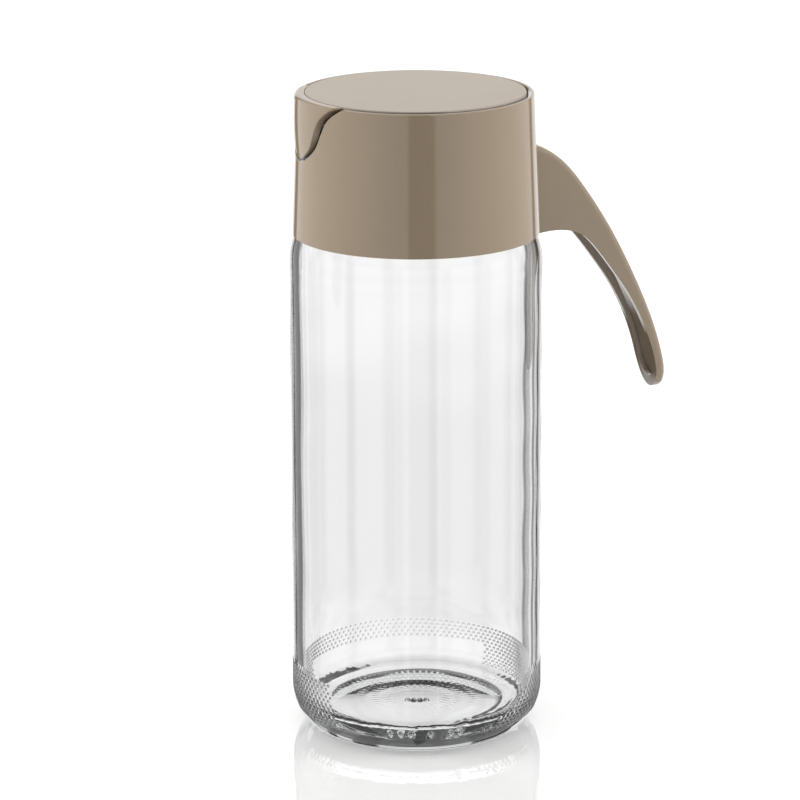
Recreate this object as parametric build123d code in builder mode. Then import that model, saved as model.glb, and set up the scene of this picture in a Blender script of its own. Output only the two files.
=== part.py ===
from build123d import *
import os
from math import hypot, sqrt

# Oil bottle with a screw-on pouring head: a collar with a side handle and a lid that
# tips open by its own counterweight when the bottle is tilted to pour.
# Millimetres. Origin at the centre of the bottle's foot, +Z up, spout towards -X, handle towards +X.

# Driving dimensions of the glass bottle
bottle_radius = 37.5
bottle_wall = 2.9
foot_inset = 6.8
foot_width = 3.7
push_up = 3.2
floor_thickness = 5.0
floor_edge_height = 6.4
floor_edge_inset = 10.6
heel_height = 12.2
heel_foot_pull = 3.2
heel_side_pull = 5.7
inner_heel_height = 18.0
inner_heel_pull = 7.5
inner_floor_pull = 7.0
shoulder_start = 143.5
shoulder_radius = 20.0
neck_inset = 10.5
neck_wall = 3.0
neck_rise = 28.2
neck_root_fillet = 2.0
rim_round = 0.9

# Screw thread between neck and head
thread_pitch = 4.0
thread_depth = 1.1
thread_base_width = 2.0
thread_crest_width = 1.0
thread_below_rim = 6.7
neck_thread_turns = 1.0
head_thread_turns = 0.75
neck_thread_angle = 25.0
head_thread_angle = 115.0
thread_play = 0.2
thread_clearance = 0.35
thread_root = 0.4

# Seal on the neck
seal_thickness = 1.3
seal_inset = 0.2

# Collar
collar_drop = 20.3
collar_inset = 1.05
collar_height = 41.8
collar_draft = 1.6
collar_rim_wall = 1.35
collar_foot_flat = 0.3
skirt_wall = 1.85
skirt_bevel_height = 3.6
collar_rim_round = 0.5
ledge_height = 2.0
ledge_clearance = 0.4
rest_angle = 125.0
rest_width = 2.0
rest_depth = 2.7
rest_root = 0.3
rest_height = 8.2

# Screw insert: threaded skirt, deck and hinge posts
deck_thickness = 2.0
deck_opening_radius = 18.5
deck_clearance = 0.2
insert_skirt_wall = 2.15
insert_skirt_height = 10.5
post_centre_y = 20.5
post_thickness = 3.0
post_radius = 2.1

# Hinge
hinge_x = 8.0
hinge_drop = 2.6
pin_radius = 1.0
pin_overhang = 0.5
pin_clearance = 0.05

# Lid
lid_gap = 1.0
lid_stand = 0.4
lid_plate_thickness = 1.8
lid_edge_round = 0.4
carrier_plate_thickness = 1.6
carrier_plate_inset = 0.8
boss_radius = 2.2
boss_gap = 0.3
arm_inner_y = 9.0
arm_thickness = 3.0

# Flap over the spout: half widths at rises above its tip, and how far it stands out
flap_length = 17.7
flap_half_widths = ((2.5, 6.3), (5.3, 9.2), (8.1, 10.6), (10.9, 11.9), (13.7, 13.6), (16.2, 16.4),
                    (18.6, 20.2))
flap_clearance = 0.5
flap_overlap = 1.3
flap_inner_round = 0.8
flap_top_stand = 0.7
flap_belly_stand = 0.9
flap_tip_stand = 0.45
flap_belly_rise = 6.5
flap_shoulder_drop = 1.2
flap_edge_gap = 0.15
flap_edge_round = 0.35
notch_gap = 2.1
notch_tip_gap = 0.8
notch_edge_round = 0.3
scoop_depth = 0.75
scoop_drop = 0.5
scoop_round = 36.0
scoop_axis_shift = 12.0

# Pouring lip, a half pipe on the deck behind the flap
lip_radius = 9.6
lip_wall = 1.0
lip_wall_height = 8.0
lip_length = 15.5
lip_gap = 0.3
lip_foot_half_width = 4.0
lip_foot_length = 11.0
lip_foot_inset = 1.9
pad_thickness = 0.7
pad_radius = 7.5
pad_rise = 9.1
pad_below_carrier = 1.2

# Counterweight and the cradle that carries it
cradle_width = 10.0
cradle_half_length = 12.0
cradle_wall = 1.2
cradle_drop = 6.6
cradle_height = 10.8
weight_clearance = 0.1
cover_thickness = 1.0
cover_plug = 1.2
plug_clearance = 0.05

# Handle, a curved channel open on the side that faces the bottle. Its side profile is given as steps
# out and up from the collar's bottom edge; the spine's third value is how far the inner face drops
# below the spine for each millimetre that it moves in
spine_points = ((-5.45, 26.9, 1.0), (4.55, 21.7, 1.0), (12.2, 12.7, 0.8), (19.7, 1.2, 0.65),
                (28.8, -16.2, 0.5), (35.1, -31.2, 0.35), (38.9, -45.3, 0.2), (39.9, -56.4, 0.1))
belly_points = ((37.0, -56.4), (35.65, -43.4), (31.65, -30.9), (26.8, -21.4), (21.3, -13.3),
                (15.7, -5.9), (10.85, -1.4), (5.25, 0.2), (-0.05, 0.0), (-5.45, -1.0))
handle_half_width_top = 13.4
handle_half_width_tip = 10.1
handle_top_rise = 28.6
handle_tip_drop = 53.0
handle_wall = 2.1
handle_tip_wall = 3.3
handle_spine = 1.5
handle_edge_round = 1.4
handle_root_fillet = 0.5
handle_root_rise = 24.6

# Places on the bottle, worked out from the sizes above
inner_radius = bottle_radius - bottle_wall
foot_radius = bottle_radius - foot_inset
foot_inner_radius = foot_radius - foot_width
floor_height = push_up + floor_thickness
floor_edge_radius = inner_radius - floor_edge_inset
neck_radius = bottle_radius - neck_inset
neck_bore = neck_radius - neck_wall
neck_top = shoulder_start + neck_rise
shoulder_centre = bottle_radius - shoulder_radius
neck_foot = shoulder_start + sqrt(shoulder_radius**2 - (neck_radius - shoulder_centre) ** 2)
inner_shoulder_radius = shoulder_radius - bottle_wall
inner_neck_foot = shoulder_start + sqrt(inner_shoulder_radius**2 - (neck_bore - shoulder_centre) ** 2)
thread_start = neck_top - thread_below_rim

# Places on the screw insert and the collar
deck_bottom = neck_top + seal_thickness
deck_top = deck_bottom + deck_thickness
insert_bore = neck_radius + thread_depth + thread_clearance
insert_radius = insert_bore + insert_skirt_wall
insert_bottom = deck_bottom - insert_skirt_height
collar_bottom = neck_top - collar_drop
collar_top = collar_bottom + collar_height
collar_bottom_radius = bottle_radius - collar_inset
collar_top_radius = collar_bottom_radius - collar_draft
collar_bore = collar_top_radius - collar_rim_wall
collar_foot_radius = collar_bottom_radius - collar_foot_flat
skirt_bottom_radius = collar_bottom_radius - skirt_wall
ledge_bore = insert_radius + ledge_clearance
ledge_bottom = deck_bottom - ledge_height
deck_radius = collar_bore - deck_clearance
rest_radius = collar_bore - rest_depth + rest_root
collar_cut_radius = collar_bore + collar_rim_wall / 2
reach_out = 2 * collar_bottom_radius

# Places on the lid, its flap and the lip
lid_radius = collar_bore - lid_gap
lid_top = collar_top + lid_stand
lid_plate_bottom = lid_top - lid_plate_thickness
carrier_bottom = lid_plate_bottom - carrier_plate_thickness
carrier_radius = lid_radius - carrier_plate_inset
hinge_height = carrier_bottom - hinge_drop
flap_tip_height = collar_top - flap_length
flap_top = lid_top - lid_edge_round / 2
flap_bore = collar_bore + flap_clearance
flap_root_radius = carrier_radius - flap_overlap
flap_crest_radius = lid_radius + flap_edge_gap
notch_bottom = flap_tip_height - notch_tip_gap
scoop_height = flap_tip_height - scoop_drop
pad_bore = flap_bore - pad_thickness
pad_centre_height = flap_tip_height + pad_rise
pad_top = carrier_bottom - pad_below_carrier
lip_end_radius = pad_bore - lip_gap
lip_axis_height = deck_top + lip_radius
lip_foot_start = lip_end_radius - lip_foot_inset
arm_outer_y = arm_inner_y + arm_thickness
post_inner_y = post_centre_y - post_thickness / 2
post_outer_y = post_centre_y + post_thickness / 2
cradle_top = hinge_height - cradle_drop
cradle_bottom = cradle_top - cradle_height
weight_bottom = cradle_bottom + cover_plug
weight_top = cradle_top - cradle_wall - weight_clearance

# Places on the handle
handle_top = collar_bottom + handle_top_rise
handle_tip = collar_bottom - handle_tip_drop
handle_root_height = collar_bottom + handle_root_rise

os.makedirs("parts", exist_ok=True)


def write(part, name):
    part.label = name
    export_step(part, f"parts/{name}.step")


def flap_outline(margin, low):
    """Half widths of the tongue at rising heights, widened by a margin, for a closed outline."""
    right = [(half + margin, flap_tip_height + rise) for rise, half in flap_half_widths]
    left = [(-half, height) for half, height in reversed(right)]
    return left + [(0, low)] + right


def axis_distance(spot):
    """Distance of a point from the bottle's axis."""
    return hypot(spot.X, spot.Y)


def on_front(edge):
    """An edge along the front of the notch or the flap, from its tip to the lid."""
    middle = edge @ 0.5
    at_front = axis_distance(middle) > collar_top_radius and middle.X < 0
    beside_flap = flap_tip_height - notch_gap < middle.Z < carrier_bottom
    return at_front and beside_flap and edge.geom_type != GeomType.CIRCLE


def meets_handle(edge):
    """An edge where the handle's outer faces meet the collar's outer face."""
    middle = edge @ 0.5
    on_collar = min(axis_distance(edge @ 0), axis_distance(edge @ 1)) > collar_top_radius
    beside = abs(middle.Y) > handle_half_width_top - handle_wall and middle.Z > collar_bottom + handle_wall
    above = handle_root_height < middle.Z < handle_top
    return on_collar and middle.X > deck_opening_radius and (beside or above)


# Glass bottle: one thick blown shell with a pushed-up base, a round shoulder and a threaded neck
with BuildPart() as glass_bottle:
    with BuildSketch(Plane.XZ) as bottle_section:
        with BuildLine():
            TangentArc((0, push_up), (foot_inner_radius, 0), tangent=(1, 0))
            Line((foot_inner_radius, 0), (foot_radius, 0))
            Bezier((foot_radius, 0), (foot_radius + heel_foot_pull, 0),
                   (bottle_radius, heel_height - heel_side_pull), (bottle_radius, heel_height))
            Line((bottle_radius, heel_height), (bottle_radius, shoulder_start))
            RadiusArc((bottle_radius, shoulder_start), (neck_radius, neck_foot), -shoulder_radius)
            Line((neck_radius, neck_foot), (neck_radius, neck_top))
            Line((neck_radius, neck_top), (neck_bore, neck_top))
            Line((neck_bore, neck_top), (neck_bore, inner_neck_foot))
            RadiusArc((neck_bore, inner_neck_foot), (inner_radius, shoulder_start), inner_shoulder_radius)
            Line((inner_radius, shoulder_start), (inner_radius, inner_heel_height))
            Bezier((inner_radius, inner_heel_height), (inner_radius, inner_heel_height - inner_heel_pull),
                   (floor_edge_radius + inner_floor_pull, floor_edge_height),
                   (floor_edge_radius, floor_edge_height))
            TangentArc((0, floor_height), (floor_edge_radius, floor_edge_height), tangent=(1, 0))
            Line((0, floor_height), (0, push_up))
        make_face()
        fillet(bottle_section.vertices().sort_by_distance((neck_radius, neck_foot))[0], neck_root_fillet)
        rim = [bottle_section.vertices().sort_by_distance(spot)[0]
               for spot in ((neck_radius, neck_top), (neck_bore, neck_top))]
        fillet(rim, rim_round)
    revolve(axis=Axis.Z)
    with BuildLine(Plane.XY.rotated((0, 0, neck_thread_angle))) as neck_helix:
        Helix(thread_pitch, thread_pitch * neck_thread_turns, neck_radius, center=(0, 0, thread_start))
    helix_start = neck_helix.line @ 0
    with BuildSketch(Plane(helix_start, x_dir=(helix_start.X, helix_start.Y, 0), z_dir=neck_helix.line % 0)):
        with BuildLine():
            Polyline((-thread_root, -thread_base_width / 2), (0, -thread_base_width / 2),
                     (thread_depth, -thread_crest_width / 2), (thread_depth, thread_crest_width / 2),
                     (0, thread_base_width / 2), (-thread_root, thread_base_width / 2), close=True)
        make_face()
    sweep(path=neck_helix.line, is_frenet=True)
write(glass_bottle.part, "glass_bottle")

# Soft sealing ring between the glass rim and the head's deck
with BuildPart() as neck_seal:
    with BuildSketch(Plane.XY.offset(neck_top)):
        Circle(neck_radius - seal_inset)
        Circle(neck_bore + seal_inset, mode=Mode.SUBTRACT)
    extrude(amount=seal_thickness)
write(neck_seal.part, "neck_seal")

# Screw insert: a threaded skirt under a ring-shaped deck with two hinge posts
with BuildPart() as screw_insert:
    with BuildSketch(Plane.XZ):
        with BuildLine():
            Polyline((insert_bore, insert_bottom), (insert_radius, insert_bottom),
                     (insert_radius, deck_bottom), (deck_radius, deck_bottom), (deck_radius, deck_top),
                     (deck_opening_radius, deck_top), (deck_opening_radius, deck_bottom),
                     (insert_bore, deck_bottom), close=True)
        make_face()
    revolve(axis=Axis.Z)
    for side in (-1, 1):
        with BuildSketch(Plane.XZ.offset(-side * post_centre_y)):
            with Locations((hinge_x, (deck_top + hinge_height) / 2)):
                Rectangle(2 * post_radius, hinge_height - deck_top)
            with Locations((hinge_x, hinge_height)):
                Circle(post_radius)
        extrude(amount=post_thickness / 2, both=True)
    with BuildSketch(Plane.XZ):
        with Locations((hinge_x, hinge_height)):
            Circle(pin_radius)
    extrude(amount=post_outer_y, both=True, mode=Mode.SUBTRACT)
    head_thread_height = thread_start - (thread_base_width + thread_crest_width) / 2 - thread_play
    lead_in_rise = thread_pitch * (head_thread_angle - neck_thread_angle) / 360
    with BuildLine(Plane.XY.rotated((0, 0, head_thread_angle))) as head_helix:
        Helix(thread_pitch, thread_pitch * head_thread_turns, insert_bore,
              center=(0, 0, head_thread_height + lead_in_rise))
    helix_start = head_helix.line @ 0
    with BuildSketch(Plane(helix_start, x_dir=(helix_start.X, helix_start.Y, 0), z_dir=head_helix.line % 0)):
        with BuildLine():
            Polyline((thread_root, -thread_base_width / 2), (0, -thread_base_width / 2),
                     (-thread_depth, -thread_crest_width / 2), (-thread_depth, thread_crest_width / 2),
                     (0, thread_base_width / 2), (thread_root, thread_base_width / 2), close=True)
        make_face()
    sweep(path=head_helix.line, is_frenet=True)
write(screw_insert.part, "screw_insert")


# Handle: the side profile trimmed to a tapering width and a round tip, then hollowed from below
def handle_blank(inset, tip_inset, spine):
    """Solid between the spine curve and the belly curve, narrower by an inset that changes to the tip."""
    half_top = handle_half_width_top - inset
    half_tip = handle_half_width_tip - tip_inset
    tip_centre = handle_tip + handle_half_width_tip
    with BuildPart() as blank:
        with BuildSketch(Plane.XZ.offset(-handle_half_width_top)):
            with BuildLine():
                spine_curve = Spline([(collar_bottom_radius + out - spine, collar_bottom + up - spine * drop)
                                      for out, up, drop in spine_points])
                belly_curve = Spline([(collar_bottom_radius + out - inset, collar_bottom + up - inset)
                                      for out, up in belly_points])
                Line(spine_curve @ 1, belly_curve @ 0)
                Line(belly_curve @ 1, spine_curve @ 0)
            make_face()
        extrude(amount=2 * handle_half_width_top)
        with BuildSketch(Plane.YZ):
            with BuildLine():
                taper = Line((half_top, handle_top), (half_tip, tip_centre))
                TangentArc(taper @ 1, (-half_tip, tip_centre), tangent=taper % 1)
                Polyline((-half_tip, tip_centre), (-half_top, handle_top), (half_top, handle_top))
            make_face()
        extrude(amount=2 * reach_out, mode=Mode.INTERSECT)
    return blank.part


# Handle moulding, cut off just outside the collar's bore so that it joins the shell
with BuildPart() as handle:
    add(handle_blank(0, 0, 0))
    spine_face = handle.faces().sort_by(lambda face: face.center().X + face.center().Z)[-1]
    free_edges = spine_face.edges().filter_by(lambda edge: (edge @ 0.5).X > collar_bottom_radius)
    fillet(free_edges, handle_edge_round)
    add(handle_blank(handle_wall, handle_tip_wall, handle_spine), mode=Mode.SUBTRACT)
    with BuildSketch(Plane.XZ):
        with BuildLine():
            Polyline((0, collar_bottom - handle_wall), (collar_foot_radius, collar_bottom - handle_wall),
                     (collar_foot_radius, collar_bottom),
                     (skirt_bottom_radius, collar_bottom + skirt_bevel_height),
                     (collar_cut_radius, collar_top), (0, collar_top), close=True)
        make_face()
    revolve(axis=Axis.Z, mode=Mode.SUBTRACT)


# Pouring collar: a tapering shell with a ledge for the screw insert, two lid rests, a scoop and a
# notch at the spout, and the handle moulded on
with BuildPart() as pouring_collar:
    with BuildSketch(Plane.XZ) as collar_section:
        with BuildLine():
            Polyline((collar_bottom_radius, collar_bottom), (collar_top_radius, collar_top),
                     (collar_bore, collar_top), (collar_bore, deck_bottom), (ledge_bore, deck_bottom),
                     (ledge_bore, ledge_bottom), (collar_bore, ledge_bottom),
                     (skirt_bottom_radius, collar_bottom + skirt_bevel_height),
                     (collar_foot_radius, collar_bottom), close=True)
        make_face()
        rim = [collar_section.vertices().sort_by_distance(spot)[0]
               for spot in ((collar_bore, collar_top), (collar_top_radius, collar_top))]
        fillet(rim, collar_rim_round)
    revolve(axis=Axis.Z)
    with BuildSketch(Plane.YZ):
        with BuildLine():
            notch_edge = Spline(flap_outline(notch_gap, notch_bottom))
            Line(notch_edge @ 1, notch_edge @ 0)
        make_face()
    extrude(amount=-reach_out, mode=Mode.SUBTRACT)
    fillet(pouring_collar.edges().filter_by(on_front), notch_edge_round)
    collar_taper = (collar_bottom_radius - collar_top_radius) / collar_height
    scoop_valley = collar_bottom_radius - collar_taper * (scoop_height - collar_bottom) - scoop_depth
    with BuildSketch(Plane.XZ):
        with Locations((-scoop_valley - scoop_round, scoop_height)):
            Circle(scoop_round)
    revolve(axis=Axis((scoop_axis_shift, 0, 0), (0, 0, 1)), mode=Mode.SUBTRACT)
    for angle in (-rest_angle, rest_angle):
        with BuildSketch(Plane.XY.offset(carrier_bottom - rest_height).rotated((0, 0, angle))):
            with Locations((rest_radius + rest_depth / 2, 0)):
                Rectangle(rest_depth, rest_width)
        extrude(amount=rest_height)
    add(handle.part)
    fillet(pouring_collar.edges().filter_by(meets_handle), handle_root_fillet)
write(pouring_collar.part, "pouring_collar")

# Pouring lip: a half pipe that runs from the middle of the deck to the flap
with BuildPart() as pouring_lip:
    with BuildSketch(Plane.YZ.offset(lip_length - lip_end_radius)):
        with Locations((0, lip_axis_height)):
            Circle(lip_radius)
            Circle(lip_radius - lip_wall, mode=Mode.SUBTRACT)
        with Locations((0, deck_top + lip_wall_height + lip_radius)):
            Rectangle(2 * lip_radius, 2 * lip_radius, mode=Mode.SUBTRACT)
    extrude(amount=-lip_length)
    with BuildSketch(Plane.XY.offset(deck_top)):
        with Locations((lip_foot_length / 2 - lip_foot_start, 0)):
            Rectangle(lip_foot_length, 2 * lip_foot_half_width)
    extrude(amount=lip_wall)
    with BuildSketch(Plane.XY.offset(deck_top)):
        Circle(lip_end_radius)
    extrude(amount=lip_wall_height, mode=Mode.INTERSECT)
write(pouring_lip.part, "pouring_lip")

# Lid: a disc over a carrier that holds the flap, the hinge arms and the cradle
with BuildPart() as lid_top_plate:
    with BuildSketch(Plane.XY.offset(lid_plate_bottom)):
        Circle(lid_radius)
    extrude(amount=lid_plate_thickness)
    fillet(lid_top_plate.edges().sort_by(Axis.Z)[-1], lid_edge_round)
write(lid_top_plate.part, "lid_top_plate")

with BuildPart() as lid_carrier:
    with BuildSketch(Plane.XZ):
        with BuildLine():
            flap_face_radius = collar_top_radius + flap_top_stand
            Polyline((flap_crest_radius, flap_top), (flap_crest_radius, lid_plate_bottom),
                     (flap_root_radius, lid_plate_bottom), (flap_root_radius, carrier_bottom),
                     (flap_bore - flap_inner_round, carrier_bottom),
                     (flap_bore, carrier_bottom - flap_inner_round), (flap_bore, notch_bottom),
                     (collar_top_radius + flap_tip_stand, notch_bottom))
            face_curve = Spline((collar_top_radius + flap_tip_stand, notch_bottom),
                                (collar_top_radius + flap_belly_stand, flap_tip_height + flap_belly_rise),
                                (flap_face_radius, flap_top - flap_shoulder_drop))
            flap_shoulder = TangentArc(face_curve @ 1, (flap_face_radius - flap_shoulder_drop, flap_top),
                                       tangent=face_curve % 1)
            Line(flap_shoulder @ 1, (flap_crest_radius, flap_top))
        make_face()
    revolve(axis=Axis.Z)
    with BuildSketch(Plane.YZ):
        with BuildLine():
            flap_edge = Spline(flap_outline(0, flap_tip_height))
            Line(flap_edge @ 1, flap_edge @ 0)
        make_face()
    extrude(amount=-reach_out, mode=Mode.INTERSECT)
    fillet(lid_carrier.edges().filter_by(on_front), flap_edge_round)
    with BuildSketch(Plane.XY.offset(carrier_bottom)):
        Circle(carrier_radius)
    extrude(amount=carrier_plate_thickness)
    with BuildSketch(Plane.XY.offset(cradle_bottom)):
        with Locations((hinge_x, 0)):
            Rectangle(cradle_width, 2 * cradle_half_length)
    extrude(amount=cradle_height)
    with BuildSketch(Plane.XY.offset(cradle_bottom)):
        with Locations((hinge_x, 0)):
            Rectangle(cradle_width - 2 * cradle_wall, 2 * (cradle_half_length - cradle_wall))
    extrude(amount=cradle_height - cradle_wall, mode=Mode.SUBTRACT)
    with BuildSketch(Plane.XY.offset(cradle_top)):
        with Locations(*((hinge_x, side * (arm_inner_y + arm_thickness / 2)) for side in (-1, 1))):
            Rectangle(cradle_width, arm_thickness)
    extrude(amount=carrier_bottom - cradle_top)
    for side in (-1, 1):
        boss_length = post_inner_y - boss_gap - arm_outer_y
        with BuildSketch(Plane.XZ.offset(-side * (arm_outer_y + boss_length / 2))):
            with Locations((hinge_x, hinge_height)):
                Circle(boss_radius)
            with Locations((hinge_x, (hinge_height + carrier_bottom) / 2)):
                Rectangle(2 * boss_radius, carrier_bottom - hinge_height)
        extrude(amount=boss_length / 2, both=True)
    with BuildSketch(Plane.XZ):
        with Locations((hinge_x, hinge_height)):
            Circle(pin_radius + pin_clearance)
    extrude(amount=post_inner_y, both=True, mode=Mode.SUBTRACT)
write(lid_carrier.part, "lid_carrier")

# Soft pad behind the flap that closes the end of the lip
with BuildPart() as flap_seal:
    with BuildSketch(Plane.XY.offset(pad_centre_height - pad_radius)):
        Circle(flap_bore)
        Circle(pad_bore, mode=Mode.SUBTRACT)
    extrude(amount=pad_top - pad_centre_height + pad_radius)
    with BuildSketch(Plane.YZ):
        with Locations((0, pad_centre_height)):
            Circle(pad_radius)
    extrude(amount=-reach_out, mode=Mode.INTERSECT)
write(flap_seal.part, "flap_seal")

# Counterweight and the cover that closes the cradle under it
with BuildPart() as counterweight:
    with BuildSketch(Plane.XY.offset(weight_bottom)):
        with Locations((hinge_x, 0)):
            Rectangle(cradle_width - 2 * (cradle_wall + weight_clearance),
                      2 * (cradle_half_length - cradle_wall - weight_clearance))
    extrude(amount=weight_top - weight_bottom)
write(counterweight.part, "counterweight")

with BuildPart() as counterweight_cover:
    with BuildSketch(Plane.XY.offset(cradle_bottom)):
        with Locations((hinge_x, 0)):
            Rectangle(cradle_width, 2 * cradle_half_length)
    extrude(amount=-cover_thickness)
    with BuildSketch(Plane.XY.offset(cradle_bottom)):
        with Locations((hinge_x, 0)):
            Rectangle(cradle_width - 2 * (cradle_wall + plug_clearance),
                      2 * (cradle_half_length - cradle_wall - plug_clearance))
    extrude(amount=cover_plug)
write(counterweight_cover.part, "counterweight_cover")

# Hinge pin through the posts and the lid's bosses
with BuildPart() as hinge_pin:
    with BuildSketch(Plane.XZ):
        with Locations((hinge_x, hinge_height)):
            Circle(pin_radius)
    extrude(amount=post_outer_y + pin_overhang, both=True)
write(hinge_pin.part, "hinge_pin")
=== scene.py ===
import math

import bmesh
import bpy
import numpy as np
from mathutils import Matrix, Vector


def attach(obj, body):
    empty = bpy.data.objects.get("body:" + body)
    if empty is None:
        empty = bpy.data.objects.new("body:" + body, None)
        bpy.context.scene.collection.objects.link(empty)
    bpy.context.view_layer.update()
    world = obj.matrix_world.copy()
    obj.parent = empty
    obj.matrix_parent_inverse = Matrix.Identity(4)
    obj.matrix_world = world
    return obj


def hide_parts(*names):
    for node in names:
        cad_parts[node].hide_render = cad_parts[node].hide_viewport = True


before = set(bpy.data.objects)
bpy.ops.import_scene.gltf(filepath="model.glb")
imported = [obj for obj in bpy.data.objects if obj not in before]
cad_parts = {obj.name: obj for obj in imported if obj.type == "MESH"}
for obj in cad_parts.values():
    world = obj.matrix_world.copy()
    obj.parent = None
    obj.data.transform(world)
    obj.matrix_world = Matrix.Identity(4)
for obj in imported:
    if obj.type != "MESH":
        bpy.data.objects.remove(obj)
for spare in ("Cube", "Light", "Camera"):  # the objects of Blender's own start-up scene
    if spare in bpy.data.objects:
        bpy.data.objects.remove(bpy.data.objects[spare])
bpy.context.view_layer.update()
bpy.context.scene.view_settings.view_transform = "Standard"
mm = 0.001  # sizes below are in millimetres, Blender's are in metres
print("frame loaded,", len(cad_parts), "parts")


def linearColour(hexCode, alpha=1.0):
    parts = [int(hexCode[i:i + 2], 16) / 255 for i in (1, 3, 5)]
    parts = [p / 12.92 if p <= 0.04045 else ((p + 0.055) / 1.055) ** 2.4 for p in parts]
    return (*parts, alpha)


def addNode(tree, kind, inputs=None, **settings):
    node = tree.nodes.new(kind)
    for name, value in settings.items():
        setattr(node, name, value)
    for name, value in (inputs or {}).items():
        if isinstance(value, bpy.types.NodeSocket):
            tree.links.new(value, node.inputs[name])
        else:
            node.inputs[name].default_value = value
    return node


def newMaterial(name):
    material = bpy.data.materials.new(name)
    material.use_nodes = True
    material.node_tree.nodes.clear()
    return material, material.node_tree


# camera, placed and turned as the photograph was taken
camera = {
    "place": (-323.47, -1110.61, 416.83),
    "turn": 16.0,  # degrees from +Y towards +X
    "tilt": 15.3317,  # degrees below the horizon
    "roll": -0.18525,
    "lens": 180.70,
    "sensor": 36.0,
}


def makeCamera(p):
    turn, tilt, roll = (math.radians(p[k]) for k in ("turn", "tilt", "roll"))
    right = Vector((math.cos(turn), -math.sin(turn), 0))
    ahead = Vector((math.sin(turn) * math.cos(tilt), math.cos(turn) * math.cos(tilt), -math.sin(tilt)))
    up = right.cross(ahead)
    rolledRight = right * math.cos(roll) + up * math.sin(roll)
    rolledUp = up * math.cos(roll) - right * math.sin(roll)
    data = bpy.data.cameras.new("camera")
    data.lens, data.sensor_width, data.sensor_fit = p["lens"], p["sensor"], "HORIZONTAL"
    data.clip_start, data.clip_end = 0.05, 50
    shot = bpy.data.objects.new("camera", data)
    axes = Matrix((rolledRight, rolledUp, -ahead)).transposed()
    shot.matrix_world = Matrix.Translation(Vector(p["place"]) * mm) @ axes.to_4x4()
    bpy.context.collection.objects.link(shot)
    bpy.context.scene.camera = shot


makeCamera(camera)
print("camera placed")

# studio: a white room, dark screens between its lamps, a pale floor
studio = {
    "fill": 0.48,  # how strongly the room lights matt surfaces
    "mirrored": 1.1,  # how bright the room is in the plastic's shine
    "screen": 0.02,  # what is left of that on a dark screen
    # the screens that the plastic mirrors: bearing in degrees from +X seen from above, width and
    # softness of the edge
    "mirrorScreens": [(-100.5, 25, 1.5), (100, 12, 1.5), (39.5, 9, 1.5)],
    # the screens behind the glass, which give it its dark edges
    "glassScreens": [(-172, 10, 2), (-124, 10, 2), (-78, 10, 2), (-36, 10, 2), (8, 10, 2),
                     (38, 6, 0.8), (54.5, 11, 0.8), (105, 22, 0.8), (142, 12, 2)],
    # what the glass shows by height, in degrees above the horizon
    "backTop": 11.0,  # where the white background ends
    "backSoft": 3.0,
    "above": 0.10,  # how bright it is above that, up to the lamp overhead
    "ceiling": 32.0,  # where the light overhead starts
    "below": 0.8,  # how bright it is steeply below, where the floor is
    "belowSpan": (-50, -30),
    "shade": 0.88,  # the backdrop's soft shade just behind the bottle
    "shadeSpan": (-20.0, -17.5, -16.0, -13.2),  # where it starts, is full and ends
    "lamps": [
        # name, place, size, watts
        ("lampLeft", (-900, 260, 450), (500, 900), 6.0),
        ("lampRight", (900, -260, 450), (500, 900), 6.0),
        ("lampTop", (0, 100, 1300), (900, 900), 4.0),
    ],
    "aim": (0, 0, 110),
    "floorSize": 9000,
    "floorDrop": 0.05,  # so that the foot and the floor don't share a plane
    "floorColour": "#F2F2F1",
    "floorGlow": 0.235,
    "farGlow": 0.45,  # beyond the lamps' reach, so that the floor stays white to the horizon
    "nearAndFar": (260, 700),  # between these distances the glow changes
    "floorGloss": 0.30,
    "floorRoughness": 0.015,
}


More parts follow.
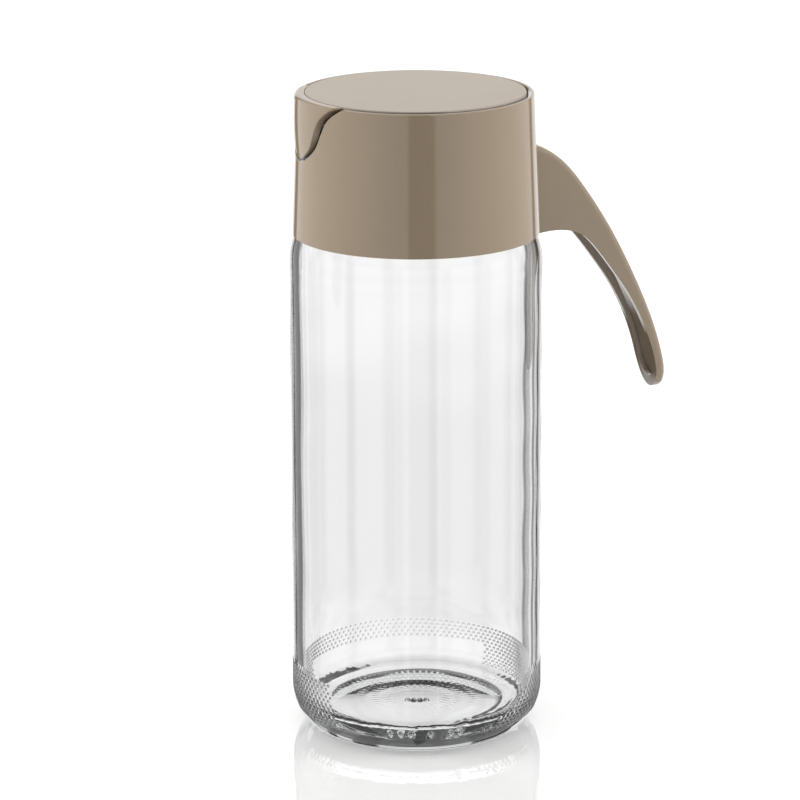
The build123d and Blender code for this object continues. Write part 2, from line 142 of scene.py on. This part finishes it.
def makeWorld(p):
    world = bpy.data.worlds.new("whiteRoom")
    bpy.context.scene.world = world
    world.use_nodes = True
    tree = world.node_tree
    tree.nodes.clear()
    direction = addNode(tree, "ShaderNodeTexCoord")
    parts = addNode(tree, "ShaderNodeSeparateXYZ", {"Vector": direction.outputs["Generated"]})

    def maths(operation, *terms):
        return addNode(tree, "ShaderNodeMath", dict(enumerate(terms)), operation=operation).outputs[0]

    bearing = maths("ARCTAN2", parts.outputs["Y"], parts.outputs["X"])
    rise = maths("ARCSINE", parts.outputs["Z"])

    def between(screens):
        # 1 between the screens, nearly 0 on them
        shown = 1.0
        for middle, width, softness in screens:
            turned = maths("WRAP", maths("SUBTRACT", bearing, math.radians(middle)), math.pi, -math.pi)
            edge, soft = math.radians(width / 2), math.radians(softness)
            clear = addNode(tree, "ShaderNodeMapRange", {
                "Value": maths("ABSOLUTE", turned), "From Min": edge - soft, "From Max": edge + soft,
                "To Min": p["screen"]})
            shown = maths("MULTIPLY", shown, clear.outputs["Result"])
        return shown

    def ramp(start, end, first, last):
        # changes with the height above the horizon
        node = addNode(tree, "ShaderNodeMapRange", {
            "Value": rise, "From Min": math.radians(start), "From Max": math.radians(end),
            "To Min": first, "To Max": last}, interpolation_type="SMOOTHSTEP")
        return node.outputs["Result"]

    lit = maths("MULTIPLY", ramp(p["backTop"], p["backTop"] + p["backSoft"], 1.0, p["above"]),
                ramp(*p["belowSpan"], p["below"], 1.0))
    lit = maths("MAXIMUM", lit, ramp(p["ceiling"], p["ceiling"] + p["backSoft"], 0.0, 1.0))
    low, fullLow, fullHigh, high = p["shadeSpan"]
    shade = maths("MAXIMUM", ramp(fullHigh, high, p["shade"], 1.0), ramp(low, fullLow, 1.0, p["shade"]))
    through = maths("MULTIPLY", maths("MULTIPLY", lit, shade), between(p["glassScreens"]))

    def background(colour, strength):
        node = addNode(tree, "ShaderNodeBackground", {"Color": colour, "Strength": strength})
        return node.outputs[0]

    white = (1, 1, 1, 1)
    shown = background(white, p["fill"])
    ray = addNode(tree, "ShaderNodeLightPath")
    for kind, room in (("Is Glossy Ray", background(between(p["mirrorScreens"]), p["mirrored"])),
                       ("Is Transmission Ray", background(through, 1.0)),
                       ("Is Camera Ray", background(white, 1.0))):
        shown = addNode(tree, "ShaderNodeMixShader", {0: ray.outputs[kind], 1: shown, 2: room}).outputs[0]
    addNode(tree, "ShaderNodeOutputWorld", {"Surface": shown})


def makeLamps(p):
    for name, place, size, power in p["lamps"]:
        data = bpy.data.lights.new(name, "AREA")
        data.shape, data.size, data.size_y = "RECTANGLE", size[0] * mm, size[1] * mm
        data.energy = power
        lamp = bpy.data.objects.new(name, data)
        lamp.location = Vector(place) * mm
        lamp.rotation_euler = (Vector(p["aim"]) - Vector(place)).to_track_quat("-Z", "Y").to_euler()
        # the room alone is mirrored, as large soft boxes
        lamp.visible_glossy = lamp.visible_transmission = False
        bpy.context.collection.objects.link(lamp)


def makeFloor(p):
    half = p["floorSize"] * mm / 2
    corners = [(-half, -half, 0), (half, -half, 0), (half, half, 0), (-half, half, 0)]
    mesh = bpy.data.meshes.new("floor")
    mesh.from_pydata(corners, [], [(0, 1, 2, 3)])
    floor = bpy.data.objects.new("floor", mesh)
    floor.location.z = -p["floorDrop"] * mm
    bpy.context.collection.objects.link(floor)
    material, tree = newMaterial("whiteSatinAcrylicFloor")
    lit = addNode(tree, "ShaderNodeBsdfDiffuse", {"Color": linearColour(p["floorColour"])})
    mirror = addNode(tree, "ShaderNodeBsdfGlossy", {
        "Color": (1, 1, 1, 1), "Roughness": p["floorRoughness"]})
    place = addNode(tree, "ShaderNodeTexCoord")
    away = addNode(tree, "ShaderNodeVectorMath", {0: place.outputs["Object"]}, operation="LENGTH")
    near, far = p["nearAndFar"]
    strength = addNode(tree, "ShaderNodeMapRange", {
        "Value": away.outputs["Value"], "From Min": near * mm, "From Max": far * mm,
        "To Min": p["floorGlow"], "To Max": p["farGlow"]}, interpolation_type="SMOOTHSTEP")
    glow = addNode(tree, "ShaderNodeEmission", {
        "Color": (1, 1, 1, 1), "Strength": strength.outputs["Result"]})
    ray = addNode(tree, "ShaderNodeLightPath")
    dark = addNode(tree, "ShaderNodeEmission", {"Color": (0, 0, 0, 1), "Strength": 0.0})
    onlySeen = addNode(tree, "ShaderNodeMixShader", {
        0: ray.outputs["Is Camera Ray"], 1: dark.outputs[0], 2: glow.outputs[0]})
    surface = addNode(tree, "ShaderNodeMixShader", {
        0: p["floorGloss"], 1: lit.outputs[0], 2: mirror.outputs[0]})
    both = addNode(tree, "ShaderNodeAddShader", {0: surface.outputs[0], 1: onlySeen.outputs[0]})
    addNode(tree, "ShaderNodeOutputMaterial", {"Surface": both.outputs[0]})
    mesh.materials.append(material)
    floor.visible_transmission = floor.visible_glossy = False  # glass and shine show the room alone


makeWorld(studio)
makeLamps(studio)
makeFloor(studio)
print("studio built")


def glassMaterial():
    # clear soda-lime glass, pressed in a mould: sharp refraction, a little grey where it is deep
    material, tree = newMaterial("clearSodaLimeGlass")
    shader = addNode(tree, "ShaderNodeBsdfPrincipled", {
        "Base Color": (1, 1, 1, 1), "Roughness": 0.0, "IOR": 1.52, "Transmission Weight": 1.0})
    depth = addNode(tree, "ShaderNodeVolumeAbsorption", {"Color": linearColour("#8C9492"), "Density": 10.0})
    addNode(tree, "ShaderNodeOutputMaterial", {"Surface": shader.outputs[0], "Volume": depth.outputs[0]})
    return material


# what the moulded plastics share
plastic = {
    "grainDetail": 2.0,
    "grainRoughness": 0.55,
    "cloudSize": 35.0,  # millimetres, of the faint unevenness in tone and shine
    "cloudSpan": (0.3, 0.7),
    "toneSpread": 0.015,
    "shineSpread": 0.08,
    "gapReach": 3.0,  # millimetres, how near the next wall must stand for the painted shade to darken a gap
    "gapSpan": (0.15, 0.65),
    "gapTone": 0.12,
}


def mouldedPlastic(p, name, colour, roughness, grain, depth):
    # grain is the size of the mould's texture in millimetres, depth how high it stands: a fine grain
    # gives a matt face, a wide faint one the slight waves of a glossy moulding
    material, tree = newMaterial(name)
    place = addNode(tree, "ShaderNodeTexCoord")
    texture = addNode(tree, "ShaderNodeTexNoise", {
        "Vector": place.outputs["Object"], "Scale": 1 / (grain * mm), "Detail": p["grainDetail"],
        "Roughness": p["grainRoughness"]})
    cloud = addNode(tree, "ShaderNodeTexNoise", {
        "Vector": place.outputs["Object"], "Scale": 1 / (p["cloudSize"] * mm), "Detail": p["grainDetail"]})

    def spread(value, span, lowest, highest):
        node = addNode(tree, "ShaderNodeMapRange", {
            "Value": value, "From Min": span[0], "From Max": span[1], "To Min": lowest, "To Max": highest})
        return node.outputs["Result"]

    def scaled(shade, factor):
        node = addNode(tree, "ShaderNodeVectorMath", {0: shade, "Scale": factor}, operation="SCALE")
        return node.outputs[0]

    tone = spread(cloud.outputs[0], p["cloudSpan"], 1 - p["toneSpread"], 1 + p["toneSpread"])
    shine = spread(cloud.outputs[0], p["cloudSpan"], roughness * (1 - p["shineSpread"]),
                   roughness * (1 + p["shineSpread"]))
    bump = addNode(tree, "ShaderNodeBump", {
        "Strength": 1.0, "Distance": depth * mm, "Height": texture.outputs[0]})
    # painted shade: the colour is darkened where ambient occlusion finds another wall near, in the narrow
    # gaps between mouldings
    narrow = addNode(tree, "ShaderNodeAmbientOcclusion", {"Distance": p["gapReach"] * mm}, samples=4)
    paintedGapShade = spread(narrow.outputs["AO"], p["gapSpan"], p["gapTone"], 1.0)
    shader = addNode(tree, "ShaderNodeBsdfPrincipled", {
        "Base Color": scaled(scaled(linearColour(colour)[:3], tone), paintedGapShade), "Roughness": shine, "IOR": 1.5,
        "Normal": bump.outputs[0]})
    addNode(tree, "ShaderNodeOutputMaterial", {"Surface": shader.outputs[0]})
    return material


def siliconeMaterial():
    # moulded food-grade silicone rubber: soft satin, milky, lets a little light in
    material, tree = newMaterial("milkySiliconeRubber")
    place = addNode(tree, "ShaderNodeTexCoord")
    texture = addNode(tree, "ShaderNodeTexNoise", {
        "Vector": place.outputs["Object"], "Scale": 1 / (0.6 * mm)})
    bump = addNode(tree, "ShaderNodeBump", {
        "Strength": 1.0, "Distance": 0.01 * mm, "Height": texture.outputs[0]})
    shader = addNode(tree, "ShaderNodeBsdfPrincipled", {
        "Base Color": linearColour("#D9D6CF"), "Roughness": 0.45, "IOR": 1.42,
        "Subsurface Weight": 0.2, "Subsurface Scale": 1.0 * mm, "Normal": bump.outputs[0]})
    addNode(tree, "ShaderNodeOutputMaterial", {"Surface": shader.outputs[0]})
    return material


def steelMaterial():
    # stainless steel, ground: fine streaks along its length, dull shine
    material, tree = newMaterial("groundStainlessSteel")
    place = addNode(tree, "ShaderNodeTexCoord")
    streak = addNode(tree, "ShaderNodeMapping", {
        "Vector": place.outputs["Object"], "Scale": (1 / (0.15 * mm), 1 / (6 * mm), 1 / (0.15 * mm))})
    texture = addNode(tree, "ShaderNodeTexNoise", {"Vector": streak.outputs[0], "Scale": 1.0, "Detail": 3.0})
    rough = addNode(tree, "ShaderNodeMapRange", {
        "Value": texture.outputs[0], "From Min": 0.3, "From Max": 0.7, "To Min": 0.22, "To Max": 0.38})
    shader = addNode(tree, "ShaderNodeBsdfPrincipled", {
        "Base Color": linearColour("#C7C6C2"), "Metallic": 1.0, "Roughness": rough.outputs["Result"]})
    addNode(tree, "ShaderNodeOutputMaterial", {"Surface": shader.outputs[0]})
    return material


bottleGlass = glassMaterial()
glossPlastic = mouldedPlastic(plastic, "taupeGlossAbs", "#9A8974", 0.06, 3.0, 0.002)
# painted light: the lid is moulded in the same taupe as the collar; its lighter colour here stands partly
# for the strong light from above and partly for its matt finish
mattPlastic = mouldedPlastic(plastic, "taupeTexturedAbs", "#A89C8E", 0.42, 0.35, 0.012)
innerPlastic = mouldedPlastic(plastic, "greyPolypropylene", "#8E8579", 0.38, 0.8, 0.004)
silicone = siliconeMaterial()
steel = steelMaterial()

finishes = {
    "neck_seal": silicone,
    "flap_seal": silicone,
    "screw_insert": innerPlastic,
    "pouring_lip": innerPlastic,
    "counterweight_cover": innerPlastic,
    "pouring_collar": glossPlastic,
    "lid_top_plate": mattPlastic,
    "lid_carrier": glossPlastic,
    "counterweight": steel,
    "hinge_pin": steel,
}
for node, finish in finishes.items():
    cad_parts[node].data.materials.clear()
    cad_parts[node].data.materials.append(finish)
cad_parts["pouring_collar"].visible_glossy = False  # keeps the handle out of the glass beside it
print("finishes set on", len(finishes), "parts")

# glass bottle: one closed wall turned about the axis, its unevenness on the pressed inside
bottle = {
    "segments": 240,
    "radius": 37.5,
    "wallRadius": 34.6,
    "footRadius": 30.7,
    "baseRadius": 27.0,
    "baseRise": 3.2,
    "heelTop": 12.2,
    "footPull": 33.9,  # how far out and how low the heel's curve is drawn
    "sidePull": 6.5,
    "shoulderStart": 143.5,
    "shoulderRadius": 20.0,
    "innerShoulder": 17.1,
    "neckRadius": 27.0,
    "neckBore": 24.0,
    "neckTop": 171.7,
    "rimRound": 0.9,
    "neckFillet": 2.0,
    "innerHeelTop": 18.0,
    "heelPull": 8.6,  # how low the wall's curve is drawn before it turns into the floor
    "floorPull": 33.6,
    "floorRadius": 28.0,
    "floorEdge": 7.4,
    "floorRise": 0.6,
    "threadStart": 165.0,
    "threadAngle": 25.0,
    "threadPitch": 4.0,
    "threadDepth": 1.1,
    "threadWidth": 1.5,
    "threadCrest": 1.4,  # above 1, so that the crest is flat
    "threadFade": 0.35,  # radians over which its ends rise
    "wallWave": 0.015,  # how uneven the inside is round the bottle
    "wallCounts": (3, 5),
    "wallSeed": 4,
    "wallDrift": 0.03,  # and along it
    "drifts": ((1.0, 9.1, 2, 0.0), (0.6, 3.9, -3, 1.0)),  # share, length, turns and start of each wave
    "waveFade": 12.0,  # millimetres over which both start above the heel
    "waveEnd": 10.0,  # and where they end, above shoulderStart
    "creaseWave": 0.09,  # how wrinkled the crease between wall and floor is
    "creaseCounts": (7, 16, 24, 33, 47),
    "creaseSeed": 9,
    "creaseNoise": 1.5,
    "noiseSeed": 21,
    "creaseSpot": (33.3, 8.3),
    "creaseSpread": 2.6,
    "weld": 0.004,  # millimetres, closes the joins between band, wall and inside
}
# the band of raised dots above the foot
dots = {
    "columns": 120,
    "rows": 12,
    "rowPitch": 1.22,
    "topRow": 18.75,
    "dotRadius": 0.48,
    "dotHeight": 0.20,
    "dotRings": ((1.0, 0.0), (0.72, 0.62), (0.36, 0.93)),  # shares of radius and height from the edge in
    "nearBare": (209.5, 324.5),  # degrees from +X between which the near panel is bare
    "nearSlant": (0.4, -3.0),  # degrees by which its sides move for each millimetre down
    "farBare": (37, 143),
    "fullRows": 5,  # rows that also cross the far panel
    "tileWeld": 0.001,
    "slopeStep": 0.05,  # over which the profile's slope is taken
}
# small round bumps: beads in the heel, stipple under the base, a short row on the floor inside
marks = {
    "beadAngles": (-118.5, -113.7, -109.0, -99.8, -90.0, -85.6, -71.0, -66.5),  # degrees from +X
    "beadHeight": 7.0,
    "beadRadius": 0.95,
    "beadStand": 0.35,  # how far they stand out
    "beadCuts": 5,  # how finely the surface round each is cut
    "stippleRings": (9.0, 13.0, 17.0),
    "stipplePitch": 2.0,
    "stippleRadius": 0.5,
    "stippleStand": 0.10,
    "stippleCuts": 2,
    "rowBumps": 4,
    "rowPitch": 1.85,
    "rowAngle": -16.0,
    "rowShift": -8.0,  # towards the front, from the middle of the floor
    "rowRadius": 0.85,
    "rowStand": 0.85,
    "rowCuts": 3,
    "bumpReach": 1.7,  # how much wider than the bump the surface is cut
}


def arcPoints(centre, radius, start, end, count):
    angles = np.radians(np.linspace(start, end, count))
    return np.stack([centre[0] + radius * np.cos(angles), centre[1] + radius * np.sin(angles)], 1)


def bezierPoints(a, b, c, d, count):
    t = np.linspace(0, 1, count)[:, None]
    a, b, c, d = (np.array(q, float) for q in (a, b, c, d))
    return (1 - t) ** 3 * a + 3 * (1 - t) ** 2 * t * b + 3 * (1 - t) * t ** 2 * c + t ** 3 * d


def linePoints(a, b, count):
    return np.linspace(np.array(a, float), np.array(b, float), count)


def domePoints(rise, edge, radius, count):
    # from the axis out, level at the axis
    big = (radius ** 2 + rise ** 2) / (2 * rise)
    r = np.linspace(0, radius, count)
    return np.stack([r, edge - (big - rise) + np.sqrt(big ** 2 - r ** 2)], 1)


def joinLines(*lines):
    points = [lines[0]]
    for line in lines[1:]:
        points.append(line[1:] if np.allclose(line[0], points[-1][-1], atol=1e-6) else line)
    return np.concatenate(points)


def outerProfile(p):
    # from the base's middle out and up to the rim; each line ends with its number of points
    sc = (p["radius"] - p["shoulderRadius"], p["shoulderStart"])
    # the fillet between shoulder and neck touches both
    fx = p["neckRadius"] + p["neckFillet"]
    reach = p["shoulderRadius"] + p["neckFillet"]
    fz = sc[1] + math.sqrt(reach ** 2 - (fx - sc[0]) ** 2)
    meet = math.degrees(math.atan2(fz - sc[1], fx - sc[0]))
    rim = (p["neckRadius"] - p["rimRound"], p["neckTop"] - p["rimRound"])
    return joinLines(
        domePoints(p["baseRise"], 0, p["baseRadius"], 28),
        linePoints((p["baseRadius"], 0), (p["footRadius"], 0), 4),
        bezierPoints((p["footRadius"], 0), (p["footPull"], 0), (p["radius"], p["sidePull"]),
                     (p["radius"], p["heelTop"]), 40),
        linePoints((p["radius"], p["heelTop"]), (p["radius"], p["shoulderStart"]), 24),
        arcPoints(sc, p["shoulderRadius"], 0, meet, 20),
        arcPoints((fx, fz), p["neckFillet"], meet - 180, -180, 6),
        linePoints((p["neckRadius"], fz), (p["neckRadius"], rim[1]), 40),
        arcPoints(rim, p["rimRound"], 0, 90, 6),
    )


def innerProfile(p):
    # from the rim down to the middle of the floor
    sc = (p["radius"] - p["shoulderRadius"], p["shoulderStart"])
    rim = (p["neckBore"] + p["rimRound"], p["neckTop"] - p["rimRound"])
    turn = math.degrees(math.acos((p["neckBore"] - sc[0]) / p["innerShoulder"]))
    low = sc[1] + p["innerShoulder"] * math.sin(math.radians(turn))
    return joinLines(
        linePoints((p["neckRadius"] - p["rimRound"], p["neckTop"]), (rim[0], p["neckTop"]), 3),
        arcPoints(rim, p["rimRound"], 90, 180, 6),
        linePoints((p["neckBore"], rim[1]), (p["neckBore"], low), 10),
        arcPoints(sc, p["innerShoulder"], turn, 0, 18),
        linePoints((p["wallRadius"], p["shoulderStart"]), (p["wallRadius"], p["innerHeelTop"]), 44),
        bezierPoints((p["wallRadius"], p["innerHeelTop"]), (p["wallRadius"], p["heelPull"]),
                     (p["floorPull"], p["floorEdge"]), (p["floorRadius"], p["floorEdge"]), 30),
        domePoints(p["floorRise"], p["floorEdge"], p["floorRadius"], 24)[::-1],
    )


def arcLengths(profile):
    return np.concatenate([[0], np.cumsum(np.linalg.norm(np.diff(profile, axis=0), axis=1))])


def waves(angle, counts, seed):
    # a smooth uneven line round the bottle, the same each run
    chance = np.random.default_rng(seed)
    total = sum(np.sin(n * angle + chance.uniform(0, 2 * np.pi)) * chance.uniform(0.4, 1.0) for n in counts)
    return total / len(counts) ** 0.5


def ringVertices(profile, p, inside):
    angle = np.arange(p["segments"]) * 2 * np.pi / p["segments"]
    wall = p["wallWave"] * waves(angle, p["wallCounts"], p["wallSeed"])
    noise = np.random.default_rng(p["noiseSeed"]).uniform(-1, 1, p["segments"])
    crease = p["creaseWave"] * (waves(angle, p["creaseCounts"], p["creaseSeed"]) + p["creaseNoise"] * noise)
    verts = []
    for r, z in profile:
        radius, height = np.full(p["segments"], r), np.full(p["segments"], z)
        if inside and p["innerHeelTop"] < z < p["shoulderStart"] + p["waveEnd"]:
            fade = min(1, (z - p["innerHeelTop"]) / p["waveFade"])
            drift = sum(share * np.sin(z / length + turns * angle + start)
                        for share, length, turns, start in p["drifts"])
            radius += fade * (wall + p["wallDrift"] * drift)
        if inside and z < p["innerHeelTop"]:
            away = (r - p["creaseSpot"][0]) ** 2 + (z - p["creaseSpot"][1]) ** 2
            height += crease * math.exp(-away / p["creaseSpread"] ** 2)
        if not inside and z > p["threadStart"] - p["threadPitch"] and abs(r - p["neckRadius"]) < 0.01:
            turned = (angle - math.radians(p["threadAngle"])) % (2 * np.pi)
            helix = p["threadStart"] + p["threadPitch"] * turned / (2 * np.pi)
            fade = np.clip(np.minimum(turned, 2 * np.pi - turned) / p["threadFade"], 0, 1)
            across = p["threadCrest"] * (1 - np.abs(z - helix) / p["threadWidth"])
            radius += p["threadDepth"] * fade * np.clip(across, 0, 1)
        verts.append(np.stack([radius * np.cos(angle), radius * np.sin(angle), height], 1))
    return np.concatenate(verts)


def addRings(bm, profile, p, inside):
    # rings joined by quads, closed by a fan where the profile starts or ends on the axis
    n = p["segments"]
    first, last = profile[0][0] < 1e-6, profile[-1][0] < 1e-6
    body = profile[int(first):len(profile) - int(last)]
    verts = [bm.verts.new(v * mm) for v in ringVertices(body, p, inside)]
    for i in range(len(body) - 1):
        for k in range(n):
            a, b = i * n + k, i * n + (k + 1) % n
            bm.faces.new((verts[a], verts[b], verts[b + n], verts[a + n]))
    if first:
        pole = bm.verts.new((0, 0, profile[0][1] * mm))
        for k in range(n):
            bm.faces.new((pole, verts[(k + 1) % n], verts[k]))
    if last:
        pole = bm.verts.new((0, 0, profile[-1][1] * mm))
        start = (len(body) - 1) * n
        for k in range(n):
            bm.faces.new((pole, verts[start + k], verts[start + (k + 1) % n]))


def newObject(name, points, faces):
    mesh = bpy.data.meshes.new(name)
    mesh.from_pydata(points, [], faces)
    return bpy.data.objects.new(name, mesh)


def dotCell(p, width):
    # one flat tile with a round dot and one without: their edges have six points, so staggered rows meet
    w, h = width / 2, p["rowPitch"] / 2
    rim = [(-w, -h, 0), (0, -h, 0), (w, -h, 0), (w, h, 0), (0, h, 0), (-w, h, 0)]
    points = list(rim)
    for scale, height in p["dotRings"]:
        for turn in np.radians(range(0, 360, 45)):
            out = p["dotRadius"] * scale
            points.append((out * math.cos(turn), out * math.sin(turn), p["dotHeight"] * height))
    points.append((0, 0, p["dotHeight"]))
    a, b, c, top = 6, 14, 22, 30  # where each ring of eight points and the top stand in the list
    faces = [
        (2, 3, a), (3, a + 1, a), (3, 4, a + 1), (4, a + 2, a + 1), (4, a + 3, a + 2), (4, 5, a + 3),
        (5, a + 4, a + 3), (5, 0, a + 4), (0, a + 5, a + 4), (0, 1, a + 5), (1, a + 6, a + 5),
        (1, a + 7, a + 6), (1, 2, a + 7), (2, a, a + 7),
    ]
    for low, high in ((a, b), (b, c)):
        faces += [(low + k, low + (k + 1) % 8, high + (k + 1) % 8, high + k) for k in range(8)]
    faces += [(c + k, c + (k + 1) % 8, top) for k in range(8)]
    return newObject("dotTile", points, faces), newObject("plainTile", rim, [(0, 1, 4, 5), (1, 2, 3, 4)])


def isRaised(p, row, angle):
    # the near panel is bare all the way down, the far one below its full rows
    depth, turned = row * p["rowPitch"], angle % 360
    start, end = (side + slant * depth for side, slant in zip(p["nearBare"], p["nearSlant"]))
    far = p["farBare"][0] < turned < p["farBare"][1]
    return not start < turned < end and not (far and row >= p["fullRows"])


def tileTree():
    # sets a tile on each point and welds the tiles
    tree = bpy.data.node_groups.new("dotTiles", "GeometryNodeTree")
    face = tree.interface
    face.new_socket("Geometry", in_out="INPUT", socket_type="NodeSocketGeometry")
    face.new_socket("Tile", in_out="INPUT", socket_type="NodeSocketObject")
    face.new_socket("Weld distance", in_out="INPUT", socket_type="NodeSocketFloat")
    face.new_socket("Finish", in_out="INPUT", socket_type="NodeSocketMaterial")
    face.new_socket("Geometry", in_out="OUTPUT", socket_type="NodeSocketGeometry")
    given = addNode(tree, "NodeGroupInput")
    tile = addNode(tree, "GeometryNodeObjectInfo", {"Object": given.outputs["Tile"]})
    placed = addNode(tree, "GeometryNodeInstanceOnPoints", {
        "Points": given.outputs["Geometry"], "Instance": tile.outputs["Geometry"]})
    real = addNode(tree, "GeometryNodeRealizeInstances", {"Geometry": placed.outputs[0]})
    weld = addNode(tree, "GeometryNodeMergeByDistance", {
        "Geometry": real.outputs[0], "Distance": given.outputs["Weld distance"]})
    finished = addNode(tree, "GeometryNodeSetMaterial", {
        "Geometry": weld.outputs[0], "Material": given.outputs["Finish"]})
    addNode(tree, "NodeGroupOutput", {"Geometry": finished.outputs[0]})
    return tree


def scatter(name, tree, tile, places, weld, finish):
    source = newObject(name + "Points", places, [])
    bpy.context.collection.objects.link(source)
    bpy.context.collection.objects.link(tile)
    setting = source.modifiers.new("tiles", "NODES")
    setting.node_group = tree
    sockets = {s.name: s.identifier for s in tree.interface.items_tree if s.in_out == "INPUT"}
    setting[sockets["Tile"]] = tile
    setting[sockets["Weld distance"]] = weld
    setting[sockets["Finish"]] = finish
    evaluated = source.evaluated_get(bpy.context.evaluated_depsgraph_get())
    result = bpy.data.meshes.new_from_object(evaluated)
    source.modifiers.remove(setting)
    bpy.data.objects.remove(source)
    bpy.data.objects.remove(tile)
    return result


def dottedBand(p, q, profile):
    # made flat, then laid round the wall: x becomes the angle, y the way down the profile
    pitch = 2 * math.pi * p["radius"] / q["columns"]
    dotted, bare = [], []
    for row in range(q["rows"]):
        for column in range(q["columns"]):
            x = (column + 0.5 + 0.5 * (row % 2)) * pitch
            spots = dotted if isRaised(q, row, math.degrees(x / p["radius"])) else bare
            spots.append((x, -row * q["rowPitch"], 0))
    tree = tileTree()
    sheets = [scatter("dots", tree, tile, spots, q["tileWeld"], bottleGlass)
              for tile, spots in zip(dotCell(q, pitch), (dotted, bare))]
    for sheet in sheets:
        wrapSheet(p, q, profile, sheet)
    return sheets


def alongProfile(profile, distance):
    lengths = arcLengths(profile)
    return np.interp(distance, lengths, profile[:, 0]), np.interp(distance, lengths, profile[:, 1])


def wrapSheet(p, q, profile, sheet):
    flat = np.empty(len(sheet.vertices) * 3)
    sheet.vertices.foreach_get("co", flat)
    x, y, stand = flat.reshape(-1, 3).T
    along = bandTop(p, q, profile) + y - q["rowPitch"] / 2
    r, z = alongProfile(profile, along)
    before = alongProfile(profile, along - q["slopeStep"])
    after = alongProfile(profile, along + q["slopeStep"])
    dr, dz = after[0] - before[0], after[1] - before[1]
    size = np.hypot(dr, dz)
    r, z = r + stand * dz / size, z - stand * dr / size
    angle = x / p["radius"]
    wrapped = np.stack([r * np.cos(angle), r * np.sin(angle), z], 1) * mm
    sheet.vertices.foreach_set("co", wrapped.ravel())


def raiseBumps(bm, spots, radius, height, cuts, reach):
    # the surface near each spot is cut finer, then pushed out as a shallow ball; a spot is a place and
    # the way out of the glass
    centres = np.array([place for place, out in spots]) * mm
    outward = np.array([out for place, out in spots], float)
    outward /= np.linalg.norm(outward, axis=1)[:, None]

    def nearest():
        verts = list(bm.verts)
        points = np.array([v.co for v in verts])
        found = {}
        for k, centre in enumerate(centres):
            away = np.linalg.norm(points - centre, axis=1) / mm
            for i in np.flatnonzero(away < radius * reach):
                if away[i] < found.get(verts[i], (math.inf, 0))[0]:
                    found[verts[i]] = (float(away[i]), k)
        return found

    near = nearest()
    edges = [e for e in bm.edges if e.verts[0] in near and e.verts[1] in near]
    bmesh.ops.subdivide_edges(bm, edges=edges, cuts=cuts, use_grid_fill=True)
    ball = (radius ** 2 + height ** 2) / (2 * height)
    for vert, (away, k) in nearest().items():
        if away < radius:
            stand = height - ball + math.sqrt(ball ** 2 - away ** 2)
            vert.co += Vector(outward[k]) * stand * mm


def heelBeads(p, q, profile):
    heel = profile[profile[:, 0] > p["footRadius"]]
    rise = 0.2  # over which the heel's slope is taken
    r = float(np.interp(q["beadHeight"], heel[:, 1], heel[:, 0]))
    ahead = float(np.interp(q["beadHeight"] + rise, heel[:, 1], heel[:, 0])) - r
    spots = []
    for turn in np.radians(q["beadAngles"]):
        c, s = math.cos(turn), math.sin(turn)
        spots.append(((r * c, r * s, q["beadHeight"]), (rise * c, rise * s, -ahead)))
    return spots


def baseHeight(p, r):
    big = (p["baseRadius"] ** 2 + p["baseRise"] ** 2) / (2 * p["baseRise"])
    return p["baseRise"] - big + math.sqrt(big ** 2 - r ** 2)


def baseStipple(p, q):
    spots = []
    for r in q["stippleRings"]:
        count = round(2 * math.pi * r / q["stipplePitch"])
        for k in range(count):
            angle = 2 * math.pi * k / count
            spots.append(((r * math.cos(angle), r * math.sin(angle), baseHeight(p, r)), (0, 0, -1)))
    return spots


def floorRow(p, q):
    turn = math.radians(q["rowAngle"])
    spots = []
    for k in range(q["rowBumps"]):
        x, y = (k - (q["rowBumps"] - 1) / 2) * q["rowPitch"], q["rowShift"]
        z = p["floorEdge"] + p["floorRise"] * (1 - (x * x + y * y) / p["floorRadius"] ** 2)
        place = (x * math.cos(turn) - y * math.sin(turn), x * math.sin(turn) + y * math.cos(turn), z)
        spots.append((place, (0, 0, 1)))
    return spots


def bandTop(p, q, profile):
    # how far along the profile the upper edge of the top row lies
    z = q["topRow"] + q["rowPitch"] / 2
    lengths = arcLengths(profile)
    wall = (profile[:, 0] > p["radius"] - 0.001) & (profile[:, 1] <= p["shoulderStart"])
    return float(np.interp(z, profile[wall, 1], lengths[wall]))


def cutProfile(profile, start, end):
    # the part between two lengths; points that lie too near a cut are left out
    lengths, room = arcLengths(profile), 0.15
    keep = (lengths > start + room) & (lengths < end - room)
    ends = [np.array(alongProfile(profile, s)) for s in (start, end)]
    return np.concatenate([[ends[0]], profile[keep], [ends[1]]])


def makeBottle(p, q, bumps):
    outer, inner = outerProfile(p), innerProfile(p)
    top = bandTop(p, q, outer)
    bottom = top - q["rows"] * q["rowPitch"]
    bm = bmesh.new()
    addRings(bm, cutProfile(outer, 0, bottom), p, False)
    addRings(bm, cutProfile(outer, top, arcLengths(outer)[-1]), p, False)
    addRings(bm, inner, p, True)
    for sheet in dottedBand(p, q, outer):
        bm.from_mesh(sheet)
    bmesh.ops.remove_doubles(bm, verts=bm.verts, dist=p["weld"] * mm)
    for kind, spots in (("bead", heelBeads(p, bumps, outer)), ("row", floorRow(p, bumps)),
                        ("stipple", baseStipple(p, bumps))):
        radius, stand, cuts = (bumps[kind + size] for size in ("Radius", "Stand", "Cuts"))
        raiseBumps(bm, spots, radius, stand, cuts, bumps["bumpReach"])
    bmesh.ops.recalc_face_normals(bm, faces=bm.faces)
    for face in bm.faces:
        face.smooth = True
        face.material_index = 0
    loose = [e for e in bm.edges if not e.is_manifold]
    triangles = sum(len(face.verts) - 2 for face in bm.faces)
    print("glass wall:", triangles, "triangles,", len(loose), "open edges")
    mesh = bpy.data.meshes.new("bottleWall")
    bm.to_mesh(mesh)
    bm.free()
    mesh.materials.clear()
    mesh.materials.append(bottleGlass)
    wall = bpy.data.objects.new("bottleWall", mesh)
    bpy.context.collection.objects.link(wall)
    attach(wall, "bottle")
    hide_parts("glass_bottle")


makeBottle(bottle, dots, marks)
print("bottle built")
